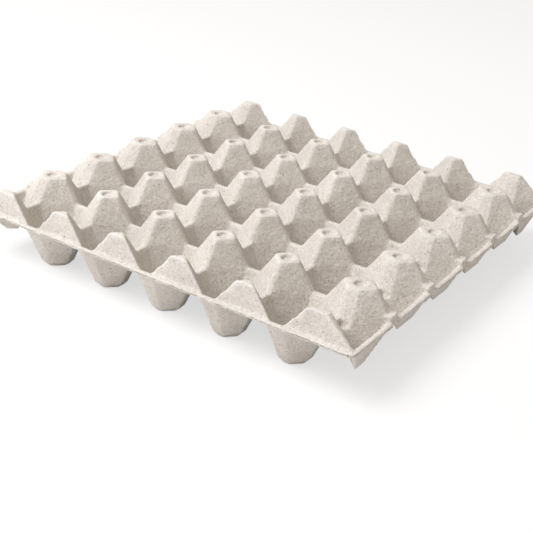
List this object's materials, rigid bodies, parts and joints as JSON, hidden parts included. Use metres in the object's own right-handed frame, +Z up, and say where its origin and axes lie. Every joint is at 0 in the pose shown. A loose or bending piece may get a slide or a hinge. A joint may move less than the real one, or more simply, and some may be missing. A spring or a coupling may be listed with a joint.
{
  "type": "pulp egg tray",
  "caption": "Square moulded-pulp tray with rows of tapered egg cups between raised posts, half cells along two sides and a flat rim.",
  "frame": {"origin": "centre of the bounding box in plan, at the plane on which the cup bottoms stand", "axes": "+Z up, out of the cups; X across the shorter row of five cells, Y along the row of six cells"},
  "size_m": [0.294, 0.289, 0.049],
  "materials": {
    "pulp": "matte"
  },
  "bodies": {
    "root": {"tray": "pulp"}
  },
  "joints": []
}
